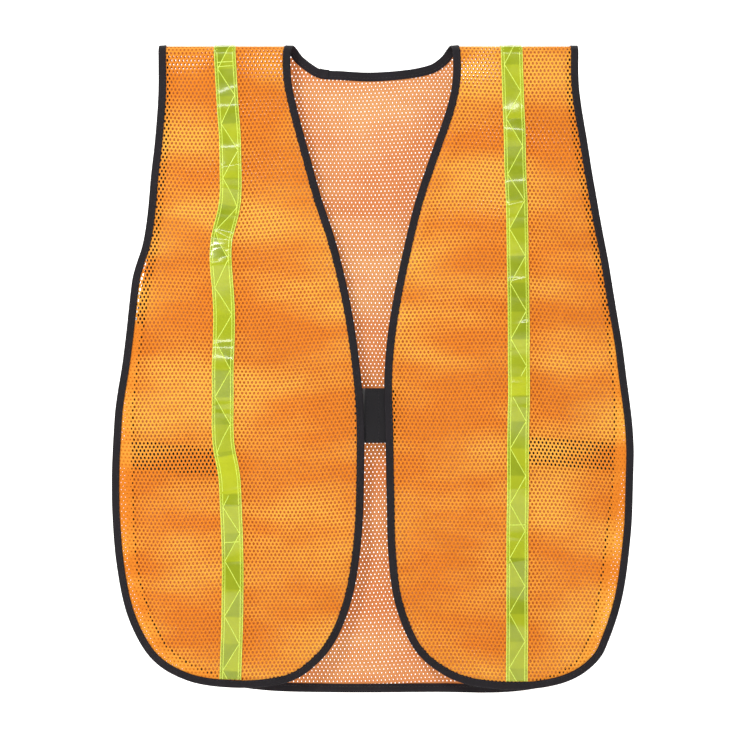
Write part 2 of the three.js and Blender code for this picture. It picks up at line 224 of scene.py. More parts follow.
def outer_loops(node):
    """The boundary of a CAD sheet's outer face, as chains of (x, s) with the hinge lines left out."""
    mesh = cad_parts[node].data
    key = {}
    spot = []
    for vertex in mesh.vertices:
        name = tuple(round(c / (0.01 * MM)) for c in vertex.co)
        spot.append(key.setdefault(name, len(key)))
    where = {spot[v.index]: place_of(v.co) for v in mesh.vertices}
    count = {}
    for face in mesh.polygons:
        x, s = place_of(face.center)
        normal = bent(np.array(x), np.array(s))[1]
        if float(np.dot(np.array(face.normal), normal)) < 0.9:
            continue
        ring = [spot[v] for v in face.vertices]
        for a, b in zip(ring, ring[1:] + ring[:1]):
            pair = (min(a, b), max(a, b))
            count[pair] = count.get(pair, 0) + 1
    near = {}
    for (a, b), uses in count.items():
        on_hinge = abs(where[a][1]) < 1 * MM and abs(where[b][1]) < 1 * MM
        if uses == 1 and not on_hinge:
            near.setdefault(a, []).append(b)
            near.setdefault(b, []).append(a)
    chains = []
    ends = [k for k, v in near.items() if len(v) == 1]
    used = set()
    for end in ends:
        if end in used:
            continue
        chain = [end]
        while True:
            used.add(chain[-1])
            ahead = [v for v in near[chain[-1]] if v not in used]
            if not ahead:
                break
            chain.append(ahead[0])
        chains.append(np.array([where[v] for v in chain]))
    return joined(chains)


def joined(chains, reach=4 * MM):
    """Chains whose ends nearly touch, made one: a sliver of a face can leave a small gap."""
    chains = list(chains)
    for i, a in enumerate(chains):
        for j in range(i + 1, len(chains)):
            b = chains[j]
            for first in (a, a[::-1]):
                for second in (b, b[::-1]):
                    if np.linalg.norm(first[-1] - second[0]) < reach:
                        rest = chains[:i] + chains[i + 1:j] + chains[j + 1:]
                        return joined(rest + [np.vstack([first, second])], reach)
    return chains


def from_to(chain, start_x):
    """The chain, turned so that it starts at the end nearer to start_x."""
    return chain if abs(chain[0][0] - start_x) < abs(chain[-1][0] - start_x) else chain[::-1]


def catmull(points, closed, per_span=12):
    """A centripetal Catmull-Rom curve through the points."""
    n = len(points)
    spans = n if closed else n - 1
    out = []
    for i in range(spans):
        if closed:
            p = [points[(i + k) % n] for k in (-1, 0, 1, 2)]
        else:
            first = 2 * points[0] - points[1] if i == 0 else points[i - 1]
            last = 2 * points[-1] - points[-2] if i == n - 2 else points[i + 2]
            p = [first, points[i], points[i + 1], last]
        knots = [max(np.linalg.norm(p[k + 1] - p[k]), 1e-9) ** 0.5 for k in range(3)]
        m1 = (p[1] - p[0]) / knots[0] - (p[2] - p[0]) / (knots[0] + knots[1]) + (p[2] - p[1]) / knots[1]
        m2 = (p[2] - p[1]) / knots[1] - (p[3] - p[1]) / (knots[1] + knots[2]) + (p[3] - p[2]) / knots[2]
        m1, m2 = m1 * knots[1], m2 * knots[1]
        for t in np.arange(per_span) / per_span:
            out.append(
                (2 * t**3 - 3 * t**2 + 1) * p[1] + (t**3 - 2 * t**2 + t) * m1
                + (3 * t**2 - 2 * t**3) * p[2] + (t**3 - t**2) * m2
            )
    if not closed:
        out.append(points[-1])
    return np.array(out)


def spaced(points, step, closed=False):
    """The polyline, cut again into even steps."""
    if closed:
        points = np.vstack([points, points[:1]])
    reach = reach_of(points)
    count = max(2, round(reach[-1] / step))
    at = np.linspace(0, reach[-1], count + 1)
    if closed:
        at = at[:-1]
    return np.stack([np.interp(at, reach, points[:, k]) for k in range(2)], -1)


def whole_edge():
    """The cut edge of the whole pattern: right front, neck, left front and back, as one loop."""
    (right,), (left,) = outer_loops("right_front_mesh"), outer_loops("left_front_mesh")
    neck, back = sorted(outer_loops("back_mesh"), key=len)
    arm_right, neck_right, neck_left, arm_left = -0.2, -0.08, 0.07, 0.19
    loop = [from_to(right, arm_right), from_to(neck, neck_right), from_to(left, neck_left),
            from_to(back, arm_left)]
    return spaced(catmull(np.vstack(loop), closed=True), 3 * MM, closed=True)


EDGE = whole_edge()


def ways_in(points, closed):
    """The unit way into the cloth at each point of an edge that runs as the whole edge does."""
    if closed:
        along = unit(np.roll(points, -1, 0) - np.roll(points, 1, 0))
    else:
        along = heading(points)
    return np.stack([-along[:, 1], along[:, 0]], -1) * EDGE_TURN


AREA2 = np.sum(EDGE[:, 0] * np.roll(EDGE[:, 1], -1) - np.roll(EDGE[:, 0], -1) * EDGE[:, 1])
EDGE_TURN = 1 if AREA2 > 0 else -1
EDGE_IN = ways_in(EDGE, closed=True)
EDGE_TREE = KDTree(len(EDGE))
for number, (edge_x, edge_s) in enumerate(EDGE):
    EDGE_TREE.insert((edge_x, edge_s, 0), number)
EDGE_TREE.balance()


def depth_in(x, s):
    """How far each place lies inside the cut edge."""
    out = np.empty(len(x))
    for k, (px, ps) in enumerate(zip(x, s)):
        _, near, _ = EDGE_TREE.find((px, ps, 0))
        out[k] = (px - EDGE[near, 0]) * EDGE_IN[near, 0] + (ps - EDGE[near, 1]) * EDGE_IN[near, 1]
    return out


def edge_parts():
    """The edge in four runs, parted on the crest of both shoulders."""
    over = EDGE[:, 1] > TOP
    start = next(i for i in range(len(EDGE)) if over[i - 1] and not over[i])
    points, over = np.roll(EDGE, -start, 0), np.roll(over, -start)
    cuts = [0] + [i for i in range(1, len(over)) if over[i] != over[i - 1]] + [len(over)]
    runs = []
    for a, b in zip(cuts, cuts[1:]):
        run = points[a:b]
        before, after = points[a - 1], points[b % len(points)]

        def crossing(p, q):
            return p + (q - p) * (TOP - p[1]) / (q[1] - p[1])

        runs.append(np.vstack([crossing(before, run[0]), run, crossing(run[-1], after)]))
    names = {}
    for run in runs:
        middle = run[len(run) // 2]
        if run[:, 1].mean() > TOP:
            names["neck" if len(run) < 120 else "back"] = run
        else:
            names["left" if middle[0] > 0 else "right"] = run
    return names


EDGES = edge_parts()


# ---- mesh building ------------------------------------------------------
def new_object(name, vertices, faces, material, uv=None, smoothed=True):
    """faces is a list of integer arrays, each of polygons with one number of corners."""
    mesh = bpy.data.meshes.new(name)
    vertices = np.asarray(vertices, np.float32).reshape(-1, 3)
    mesh.vertices.add(len(vertices))
    mesh.vertices.foreach_set("co", vertices.ravel())
    faces = [np.asarray(f, np.int32) for f in faces if len(f)]
    corners = np.concatenate([f.ravel() for f in faces])
    sizes = np.concatenate([np.full(len(f), f.shape[1], np.int32) for f in faces])
    mesh.loops.add(len(corners))
    mesh.loops.foreach_set("vertex_index", corners)
    mesh.polygons.add(len(sizes))
    mesh.polygons.foreach_set("loop_start", np.concatenate([[0], np.cumsum(sizes)[:-1]]).astype(np.int32))
    mesh.update(calc_edges=True)
    if uv is not None:
        layer = mesh.uv_layers.new(name="cloth")
        layer.data.foreach_set("uv", np.asarray(uv, np.float32)[corners].ravel())
    mesh.polygons.foreach_set("use_smooth", np.full(len(sizes), smoothed))
    mesh.materials.append(material)
    made = bpy.data.objects.new(name, mesh)
    bpy.context.scene.collection.objects.link(made)
    return made


def grid_faces(rows, columns, around=False, ends=False):
    """Quads between rows of points; around closes each row on itself, ends closes both ends."""
    i = np.arange(rows - 1)[:, None]
    j = np.arange(columns if around else columns - 1)[None]
    k = (j + 1) % columns
    quads = np.stack([i * columns + j, i * columns + k, (i + 1) * columns + k, (i + 1) * columns + j], -1)
    faces = [quads.reshape(-1, 4)]
    if ends:
        faces.append(np.arange(columns)[None, ::-1])
        faces.append(((rows - 1) * columns + np.arange(columns))[None])
    return faces


def facing_out(made):
    """Turns a closed piece's faces outwards."""
    work = bmesh.new()
    work.from_mesh(made.data)
    bmesh.ops.recalc_face_normals(work, faces=work.faces)
    work.to_mesh(made.data)
    work.free()
    return made


# ---- materials ----------------------------------------------------------
class Shade:
    """A material's nodes, each made in one call."""

    def __init__(self, name, color, roughness, **sockets):
        self.material = bpy.data.materials.new(name)
        self.material.use_nodes = True
        self.tree = self.material.node_tree
        self.bsdf = self.tree.nodes["Principled BSDF"]
        self.bsdf.inputs["Base Color"].default_value = (*color, 1)
        self.bsdf.inputs["Roughness"].default_value = roughness
        for key, value in sockets.items():
            self.bsdf.inputs[key.replace("_", " ")].default_value = value

    def node(self, kind, **values):
        made = self.tree.nodes.new(kind)
        for key, value in values.items():
            setattr(made, key, value)
        return made

    def feed(self, socket, value):
        if isinstance(value, bpy.types.NodeSocket):
            self.tree.links.new(value, socket)
        else:
            socket.default_value = value

    def math(self, operation, a, b=0.0, c=0.0):
        made = self.node("ShaderNodeMath", operation=operation)
        for socket, value in zip(made.inputs, (a, b, c)):
            self.feed(socket, value)
        return made.outputs[0]

    def add(self, a, b):
        return self.math("ADD", a, b)

    def minus(self, a, b):
        return self.math("SUBTRACT", a, b)

    def times(self, a, b):
        return self.math("MULTIPLY", a, b)

    def wave(self, value, length):
        return self.math("SINE", self.times(value, 2 * math.pi / length))

    def uv(self):
        made = self.node("ShaderNodeUVMap", uv_map="cloth")
        parts = self.node("ShaderNodeSeparateXYZ")
        self.tree.links.new(made.outputs[0], parts.inputs[0])
        return made.outputs[0], parts.outputs[0], parts.outputs[1]

    def noise(self, scale, detail=2.0, stretch=(1, 1, 1), source=None, seed=0.0):
        if source is None:
            source = self.node("ShaderNodeTexCoord").outputs["Object"]
        turn = self.node("ShaderNodeMapping")
        turn.inputs["Scale"].default_value = stretch
        turn.inputs["Location"].default_value = (seed, seed * 0.7, seed * 1.3)
        self.tree.links.new(source, turn.inputs[0])
        made = self.node("ShaderNodeTexNoise")
        made.inputs["Scale"].default_value = scale
        made.inputs["Detail"].default_value = detail
        self.tree.links.new(turn.outputs[0], made.inputs["Vector"])
        return made.outputs["Fac"]

    def ramp(self, value, low, high, low_color, high_color):
        share = self.span(value, low, high, 0.0, 1.0)
        mix = self.node("ShaderNodeMix", data_type="RGBA")
        self.tree.links.new(share, mix.inputs["Factor"])
        self.feed(mix.inputs[6], self.color(low_color))
        self.feed(mix.inputs[7], self.color(high_color))
        return mix.outputs[2]

    @staticmethod
    def color(value):
        return value if isinstance(value, bpy.types.NodeSocket) else (*value, 1)

    def span(self, value, low, high, out_low, out_high):
        made = self.node("ShaderNodeMapRange")
        for socket, number in zip(made.inputs, (value, low, high, out_low, out_high)):
            self.feed(socket, number)
        return made.outputs[0]

    def bump(self, height, distance, strength=1.0):
        made = self.node("ShaderNodeBump")
        made.inputs["Strength"].default_value = strength
        made.inputs["Distance"].default_value = distance
        self.tree.links.new(height, made.inputs["Height"])
        return made.outputs[0]

    def set(self, name, value):
        self.feed(self.bsdf.inputs[name], value)


def knit_material(name, shaded_patch_color, lit_patch_color, dark, painted_glow):
    """Warp knit in fluorescent yarn: fine loops on the strands, painted shade darker towards each hole,
    in broad deeper and paler patches of painted shade and light, with a painted glow."""
    shade = Shade(name, lit_patch_color, 0.8, Specular_IOR_Level=0.2)
    # painted light: the yarn glows evenly; this stands for its fluorescence and lifts its shade
    shade.bsdf.inputs["Emission Color"].default_value = (*PAINTED_GLOW, 1)
    shade.bsdf.inputs["Emission Strength"].default_value = painted_glow
    uv, u, v = shade.uv()
    column = shade.math("DIVIDE", u, HOLE_PITCH)
    row = shade.math("DIVIDE", v, 2 * ROW_PITCH)

    def to_hole(offset):
        a = shade.minus(shade.math("FRACT", shade.add(column, 0.5 + offset)), 0.5)
        b = shade.minus(shade.math("FRACT", shade.add(row, 0.5 + offset)), 0.5)
        a = shade.times(a, HOLE_PITCH / MM)
        b = shade.times(b, 2 * ROW_PITCH / MM)
        return shade.math("SQRT", shade.add(shade.times(a, a), shade.times(b, b)))

    away = shade.math("MINIMUM", to_hole(0.0), to_hole(0.5))
    yarn = shade.noise(900, 3, (1, 0.35, 1), uv, 3)
    wide = shade.noise(13, 3, (0.6, 1, 1.5), seed=5)
    round_strand = shade.span(away, 0.9, 1.95, 0.0, 1.0)
    # painted shade: the tone darkens towards each hole, where the strands round down into it
    tone = shade.add(shade.times(round_strand, 0.62), shade.times(yarn, 0.42))
    # painted shade and light: broad deeper and paler patches from noise stand in for the shading of the folds
    tone = shade.add(tone, shade.span(wide, 0.35, 0.65, -0.12, 0.12))
    light = shade.ramp(wide, 0.40, 0.62, shaded_patch_color, lit_patch_color)
    shade.set("Base Color", shade.ramp(tone, 0.05, 0.9, dark, light))
    height = shade.add(shade.times(round_strand, 1.0), shade.times(yarn, 0.35))
    shade.set("Normal", shade.bump(height, 0.00035, 0.8))
    shade.set("Roughness", shade.span(yarn, 0.3, 0.7, 0.66, 0.86))
    return shade.material


def tape_material(name, light, dark, pitch=0.55 * MM, rough=0.72):
    """Woven tape: a fine diagonal weave across the tape, with painted highlight on its high spots."""
    shade = Shade(name, light, rough, Specular_IOR_Level=0.22)
    uv, u, v = shade.uv()
    slant = shade.add(u, v)
    back = shade.minus(u, v)
    warp = shade.wave(slant, pitch)
    weft = shade.wave(back, pitch)
    weave = shade.times(warp, weft)
    fibre = shade.noise(1400, 3, (1, 0.3, 1), uv, 1)
    wide = shade.noise(28, 3, seed=2)
    # painted highlight: the weave is lighter on its high spots and darker in its hollows
    tone = shade.add(shade.span(weave, -1, 1, 0.1, 0.6), shade.times(fibre, 0.35))
    tone = shade.add(tone, shade.span(wide, 0.3, 0.7, -0.15, 0.2))
    shade.set("Base Color", shade.ramp(tone, 0.1, 1.0, dark, light))
    height = shade.add(shade.times(weave, 0.5), shade.times(fibre, 0.6))
    shade.set("Normal", shade.bump(height, 0.00012, 0.7))
    shade.set("Roughness", shade.span(fibre, 0.3, 0.7, rough - 0.1, rough + 0.08))
    return shade.material


def elastic_material():
    """Ribbed elastic webbing: covered rubber cords along the strap, crossed by fine weft."""
    shade = Shade("black_elastic", (0.02, 0.019, 0.021), 0.7, Specular_IOR_Level=0.25)
    uv, u, v = shade.uv()
    rib = shade.wave(v, 1.6 * MM)
    weft = shade.wave(u, 0.7 * MM)
    fibre = shade.noise(1500, 3, (0.3, 1, 1), uv, 4)
    # painted highlight: the tone is lighter on the crowns of the ribs and darker in the grooves between them
    tone = shade.add(shade.span(rib, -1, 1, 0.0, 0.5), shade.times(fibre, 0.5))
    shade.set("Base Color", shade.ramp(tone, 0.1, 1.0, (0.009, 0.0085, 0.0095), (0.034, 0.032, 0.035)))
    height = shade.add(rib, shade.times(weft, 0.35))
    shade.set("Normal", shade.bump(height, 0.00016, 0.8))
    return shade.material


def pile_material(name, light, dark):
    """The pile side of the hook-and-loop tape."""
    shade = Shade(name, light, 0.85, Sheen_Weight=0.5, Sheen_Roughness=0.6)
    fuzz = shade.noise(2200, 4, seed=1)
    clump = shade.noise(420, 2, seed=2)
    tone = shade.add(shade.times(fuzz, 0.6), shade.times(clump, 0.5))
    shade.set("Base Color", shade.ramp(tone, 0.35, 0.75, dark, light))
    shade.set("Normal", shade.bump(tone, 0.0005, 0.9))
    return shade.material


def film_material():
    """Prismatic film: glossy, with each sealed cell a slightly different green."""
    shade = Shade("lime_film", (0.32, 0.46, 0.02), 0.22, Specular_IOR_Level=0.25, Coat_Weight=0.6,
                  Coat_Roughness=0.06, IOR=1.52)
    cell = shade.node("ShaderNodeAttribute", attribute_name="cell").outputs["Fac"]
    uv, _, _ = shade.uv()
    prism = shade.node("ShaderNodeTexVoronoi", feature="DISTANCE_TO_EDGE")
    prism.inputs["Scale"].default_value = 2400
    shade.tree.links.new(uv, prism.inputs["Vector"])
    wide = shade.noise(60, 3, (1, 1, 1), uv, 2)
    tone = shade.add(shade.times(cell, 0.75), shade.times(wide, 0.45))
    shade.set("Base Color", shade.ramp(tone, 0.1, 1.05, (0.195, 0.262, 0.003), (0.45, 0.50, 0.012)))
    shade.set("Normal", shade.bump(prism.outputs["Distance"], 0.00004, 0.35))
    shade.set("Roughness", shade.span(wide, 0.3, 0.7, 0.12, 0.26))
    return shade.material


def grainy_material(name, base, light, dark, rough, scale, detail, seed, bump, strength, **sockets):
    """Film backing, weld or thread: one fine grain in its colour and its height."""
    shade = Shade(name, base, rough, **sockets)
    fleck = shade.noise(scale, detail, seed=seed)
    shade.set("Base Color", shade.ramp(fleck, 0.3, 0.7, dark, light))
    shade.set("Normal", shade.bump(fleck, bump, strength))
    return shade.material


def thread_material(name, light, dark):
    return grainy_material(name, light, light, dark, 0.55, 2600, 2, 8, 0.00008, 0.7, Specular_IOR_Level=0.3)


ORANGE_FRONT = knit_material(
    "orange_knit_front", (0.65, 0.195, 0.009), (0.79, 0.400, 0.050), (0.58, 0.155, 0.008), 0.10)
# painted shade: the back is a darker, pinker copy of the same yarn, and its stronger glow is painted light on
# its strands in shade behind the fronts
ORANGE_BACK_SHADED = knit_material(
    "orange_knit_back", (0.47, 0.180, 0.066), (0.54, 0.300, 0.122), (0.44, 0.140, 0.042), 0.20)
BINDING = tape_material("black_binding", (0.015, 0.0120, 0.016), (0.007, 0.006, 0.008))
WEBBING = tape_material("black_webbing", (0.016, 0.015, 0.017), (0.006, 0.0055, 0.007), 0.8 * MM, 0.78)
ELASTIC = elastic_material()
HOOK_PILE = pile_material("hook_pile", (0.03, 0.028, 0.03), (0.008, 0.008, 0.009))
LOOP_PILE = pile_material("loop_pile", (0.035, 0.033, 0.036), (0.009, 0.009, 0.01))
FILM = film_material()
WELD = grainy_material("lime_weld", (0.72, 0.86, 0.10), (0.74, 0.88, 0.13), (0.56, 0.74, 0.06),
                       0.3, 700, 2, 3, 0.00006, 0.5, Coat_Weight=0.4, Coat_Roughness=0.15)
FILM_BACK = grainy_material("lime_backing", (0.50, 0.66, 0.05), (0.56, 0.72, 0.08), (0.46, 0.62, 0.05),
                            0.45, 900, 3, 6, 0.00005, 0.5)
THREAD = thread_material("black_thread", (0.03, 0.028, 0.032), (0.012, 0.011, 0.013))
LIME_THREAD = thread_material("lime_thread", (0.70, 0.78, 0.12), (0.48, 0.56, 0.06))


# ---- how pieces move ----------------------------------------------------
FRONT_BODY = {"left": "left_front", "right": "right_front"}


def go_with(made, side):
    """Left and right pieces stay where they are, baked into their meshes; the others go with the back."""
    if side in FRONT_BODY:
        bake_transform(made)
    else:
        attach(made, "back")
    return made


# ---- the knitted mesh ---------------------------------------------------
def wander(u, v):
    """Where a place in the even knit lies on the cut fronts: the knit wanders a little."""
    x = u + 2.2 * MM * np.sin(v / (95 * MM) + 1.0) + 1.2 * MM * np.sin(v / (31 * MM) + u / (60 * MM))
    s = v + 2.6 * MM * np.sin(u / (70 * MM) + 0.6) + 1.0 * MM * np.sin(u / (24 * MM) + v / (80 * MM))
    return x, s


def seen_behind(x, s):
    """The place on the back that a place on the fronts hides, seen from CAMERA_PLACE."""
    behind_z = CAMERA_PLACE[2] + (SHOULDER_Z + s - CAMERA_PLACE[2]) * BEHIND
    return x * BEHIND, FOLD_LENGTH + SHOULDER_Z - behind_z


def grain(u, v):
    """The knit's place on the whole pattern. Below the shoulders the back is shifted so that, seen
    from CAMERA_PLACE, its strands stand behind the holes of the fronts: two free lattices would show
    white blotches there. From other places the layers cross as they like."""
    x, s = wander(u, v)
    meet = 6 * ROW_PITCH + ROW_PITCH * 2 / 3
    behind_x, behind_s = seen_behind(*wander(u, meet - v))
    share = smooth(TOP, TOP + 50 * MM, v)
    return x + (behind_x - x) * share, s + (behind_s - s) * share


def unbacked(u, v):
    """1 where a front, seen from CAMERA_PLACE, reaches out past the back at the lower sides. The holes
    there are drawn nearly shut, so that the ground doesn't shine through. Real knit would keep them."""
    x, s = grain(u, v)
    behind = depth_in(*(place.ravel() for place in seen_behind(x, s))).reshape(x.shape)
    own = depth_in(x.ravel(), s.ravel()).reshape(x.shape)
    low_side = (v < -250 * MM) & (np.abs(x) > 120 * MM)
    return low_side * smooth(7 * MM, 3 * MM, behind) * smooth(24 * MM, 18 * MM, own)


def knit():
    """Corners and faces of the strands between the holes of the whole pattern."""
    low, high = EDGE.min(0) - 8 * MM, EDGE.max(0) + 8 * MM
    columns = np.arange(math.floor(low[0] / HOLE_PITCH), math.ceil(high[0] / HOLE_PITCH) + 1)
    rows = np.arange(math.floor(low[1] / ROW_PITCH), math.ceil(high[1] / ROW_PITCH) + 1)
    i, j = np.meshgrid(columns, rows)
    u = (i + 0.5 * (j % 2)) * HOLE_PITCH
    v = j * ROW_PITCH
    at_back = smooth(0, TOP, v)
    radius, width, height = (sizes["front"] + (sizes["back"] - sizes["front"]) * at_back
                             for sizes in (HOLE_RADIUS, HOLE_WIDE, HOLE_TALL))
    uneven = 1 + HOLE_UNEVEN * RNG.standard_normal(u.shape).clip(-2, 2)
    radius = radius * uneven * (1 - HOLE_SHUT * unbacked(u, v))
    turn = np.radians([90, 30, -30, -90, -150, 150])
    corner_u = u[..., None] + (radius * width)[..., None] * np.cos(turn)
    corner_v = v[..., None] + (radius * height)[..., None] * np.sin(turn)
    wide, tall = len(columns), len(rows)
    hole = np.arange(wide * tall).reshape(tall, wide)
    quads, triangles = [], []
    for parity in (0, 1):  # rows of each parity are offset by half a hole
        here = np.array([r for r in range(tall - 1) if rows[r] % 2 == parity])
        inside = slice(1, wide - 1)
        a = hole[here][:, inside]
        right = a + 1
        up_right = hole[here + 1][:, inside] + parity
        up_left = up_right - 1
        quads += [
            np.stack([a * 6 + 1, a * 6 + 2, right * 6 + 4, right * 6 + 5], -1),
            np.stack([a * 6 + 0, a * 6 + 1, up_right * 6 + 3, up_right * 6 + 4], -1),
            np.stack([a * 6 + 5, a * 6 + 0, up_left * 6 + 2, up_left * 6 + 3], -1),
        ]
        triangles += [
            np.stack([a * 6 + 1, right * 6 + 5, up_right * 6 + 3], -1),
            np.stack([a * 6 + 0, up_right * 6 + 4, up_left * 6 + 2], -1),
        ]
    quads = np.concatenate([q.reshape(-1, 4) for q in quads])
    triangles = np.concatenate([t.reshape(-1, 3) for t in triangles])
    return corner_u.reshape(-1), corner_v.reshape(-1), quads, triangles


def knit_sheets():
    u, v, quads, triangles = knit()
    x, s = grain(u, v)
    margin = 0.4 * MM
    made = {}
    kept = []
    for faces in (quads, triangles):
        mid_x, mid_s = x[faces].mean(1), s[faces].mean(1)
        inside = depth_in(mid_x, mid_s) > margin
        part = np.where(mid_s > TOP, 0, np.where(mid_x > 0, 1, 2))
        kept.append((faces, inside, part))
    for code, (side, name) in enumerate((("back", "back_mesh"), ("left", "left_front_mesh"),
                                         ("right", "right_front_mesh"))):
        chosen = [faces[inside & (part == code)] for faces, inside, part in kept]
        used, index = np.unique(np.concatenate([f.ravel() for f in chosen]), return_inverse=True)
        split = len(chosen[0]) * 4
        faces = [index[:split].reshape(-1, 4), index[split:].reshape(-1, 3)]
        points = on_cloth(x[used], s[used], np.zeros(len(used)))
        material = ORANGE_BACK_SHADED if side == "back" else ORANGE_FRONT
        sheet = new_object(f"knit_{side}", points, faces, material, np.stack([u[used], v[used]], -1))
        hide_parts(name)
        made[side] = sheet
    return made


# ---- edge binding -------------------------------------------------------
def binding_profile(inside):
    """Middle line of the folded tape: outer leaf, round the cut edge, and the wider inner leaf."""
    gap = 0.75 * MM
    fold = np.radians(np.linspace(90, 270, 9))
    outer = [(d, gap) for d in np.linspace(BINDING_OUTSIDE, 0.5 * MM, 6)]
    turn = [(gap * 1.15 * math.cos(a) - 0.1 * MM, gap * math.sin(a)) for a in fold]
    inner = [(d, -gap) for d in np.linspace(0.5 * MM, inside, 8)]
    return np.array(outer + turn + inner)


def thick_profile(line, thickness):
    """A closed outline round an open line, with rounded ends."""
    along = heading(line)
    side = np.stack([-along[:, 1], along[:, 0]], -1)
    half = thickness / 2
    caps = []
    for end, direction in ((line[-1], along[-1]), (line[0], -along[0])):
        normal = np.array([-direction[1], direction[0]])
        caps.append(np.array([end + half * (direction * math.sin(a) + normal * math.cos(a))
                              for a in np.radians([45, 90, 135])]))
    return np.vstack([line + side * half, caps[0], (line - side * half)[::-1], caps[1]])


def sweep_edge(name, points, depth, height, uv, node):
    """A tape swept along an edge run, from its depth into the cloth and its height above it."""
    into = ways_in(points, False)
    x = points[:, None, 0] + into[:, None, 0] * depth
    s = points[:, None, 1] + into[:, None, 1] * depth
    faces = grid_faces(*x.shape, around=True, ends=True)
    made = facing_out(new_object(name, on_cloth(x, s, height), faces, BINDING, uv))
    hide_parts(node)
    return made


def binding(name, run, side, node):
    points = spaced(run, 3 * MM)
    profile = thick_profile(binding_profile(BINDING_INSIDE[side]), TAPE_THICKNESS)
    reach = np.arange(len(points)) * 3 * MM
    pucker = 0.10 * MM * np.sin(reach * 2 * math.pi / (11 * MM)) + 0.07 * MM * np.sin(reach / (2.9 * MM))
    lean = 0.25 * MM * np.sin(reach / (37 * MM))
    depth = profile[None, :, 0] + lean[:, None]
    height = profile[None, :, 1] + np.sign(profile[None, :, 1]) * pucker[:, None] * smooth(0, 4 * MM, depth)
    rows, columns = depth.shape
    uv = np.stack([np.repeat(reach, columns), np.tile(reach_of(profile), rows)], -1)
    return go_with(sweep_edge(name, points, depth, height, uv, node), side)


def beads(name, centres, alongs, normals, thick, material):
    """Lockstitches: each one a short bowed bead of thread, lying along its vector."""
    length = np.linalg.norm(alongs, axis=1, keepdims=True)
    sides = np.cross(alongs / length, normals)
    steps = np.linspace(-1, 1, 6)
    turn = np.radians([0, 60, 120, 180, 240, 300])
    girth = thick / 2 * np.sqrt(np.clip(1.12 - steps**2, 0.05, 1))
    bow = thick * 0.25 * (1 - steps**2)
    solid = (
        centres[:, None, None]
        + alongs[:, None, None] * steps[None, :, None, None] / 2
        + sides[:, None, None] * (girth[:, None] * np.cos(turn))[None, :, :, None]
        + normals[:, None, None] * (bow[:, None] + girth[:, None] * np.sin(turn))[None, :, :, None]
    ).reshape(-1, 3)
    one = grid_faces(6, 6, around=True, ends=True)
    offsets = np.arange(len(centres))[:, None, None] * 36
    faces = [(part[None] + offsets).reshape(-1, part.shape[1]) for part in one]
    return facing_out(new_object(name, solid, faces, material))


def cloth_beads(name, x, s, height, length, thick, material):
    """Stitches along a row of places on the cloth; a negative height is on the inner face."""
    along = heading(np.stack([x, s], -1))
    flat = np.full(len(x), height)
    centres = on_cloth(x, s, flat)
    reach = along * length / 2
    ends = [on_cloth(x + side * reach[:, 0], s + side * reach[:, 1], flat) for side in (1, -1)]
    alongs = ends[0] - ends[1]
    normals = unit(on_cloth(x, s, flat + math.copysign(MM, height)) - centres)
    return beads(name, centres, alongs, normals, thick, material)


def edge_stitches(name, run, depth, height, side):
    line = spaced(run, 3.4 * MM)
    into = ways_in(line, False)
    x, s = line[:, 0] + into[:, 0] * depth, line[:, 1] + into[:, 1] * depth
    made = cloth_beads(name, x, s, height, 2.4 * MM, THREAD_WIDTH, THREAD)
    return go_with(made, side)


def bindings():
    plan = {
        "back": ("binding_back_hem", "back_edge_binding"),
        "neck": ("binding_back_neck", "back_neck_binding"),
        "left": ("binding_left_front", "left_front_binding"),
        "right": ("binding_right_front", "right_front_binding"),
    }
    made = {}
    for side, (name, node) in plan.items():
        made[side] = [binding(name, EDGES[side], side, node)]
        seam = BINDING_OUTSIDE - 1.1 * MM
        made[side].append(edge_stitches(f"stitches_{side}_outside", EDGES[side], seam, 1.0 * MM, side))
        made[side].append(edge_stitches(f"stitches_{side}_inside", EDGES[side], seam, -1.02 * MM, side))
    return made


def binding_lap():
    """The turned-under end of the tape, lapped over its start at the back of the neck."""
    low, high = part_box("binding_lap")
    run = EDGES["neck"]
    run = run[(run[:, 0] > low.x) & (run[:, 0] < high.x) & (run[:, 1] > FOLD_LENGTH)]
    points = spaced(catmull(run, closed=False), 1.0 * MM)
    line = np.array([(d, -1.05 * MM) for d in np.linspace(6.6 * MM, 0.2 * MM, 8)]
                    + [(-1.15 * MM, -0.8 * MM), (-1.45 * MM, 0.0), (-1.15 * MM, 0.8 * MM)]
                    + [(d, 1.05 * MM) for d in np.linspace(0.2 * MM, BINDING_OUTSIDE, 7)])
    profile = thick_profile(line, 0.5 * MM)
    ends = 1 + 0.10 * np.cos(np.linspace(0, 2 * math.pi, len(points)))
    depth = np.broadcast_to(profile[None, :, 0], (len(points), len(profile)))
    height = profile[None, :, 1] * ends[:, None]
    uv = np.stack([np.repeat(np.arange(len(points)) * MM, len(profile)),
                   np.tile(np.arange(len(profile)) * 0.8 * MM, len(points))], -1)
    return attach(sweep_edge("binding_lap_end", points, depth, height, uv, "binding_lap"), "back")


# ---- reflective tapes ---------------------------------------------------
WELD_INNER = 7.2 * MM  # weld lines from the tape's middle
WELD_OUTER = 9.6 * MM
ZIGZAG = 25.4 * MM  # from one tip of the zigzag to the next
ZIGZAG_TIP = {"right": -65 * MM, "left": -264 * MM}  # s of one tip on the tape's right edge
PLAIN = {"right": (-407 * MM, -373 * MM), "left": (-316 * MM, -300 * MM)}  # sealed flat, no zigzag
FILM_HEIGHT = 1.05 * MM

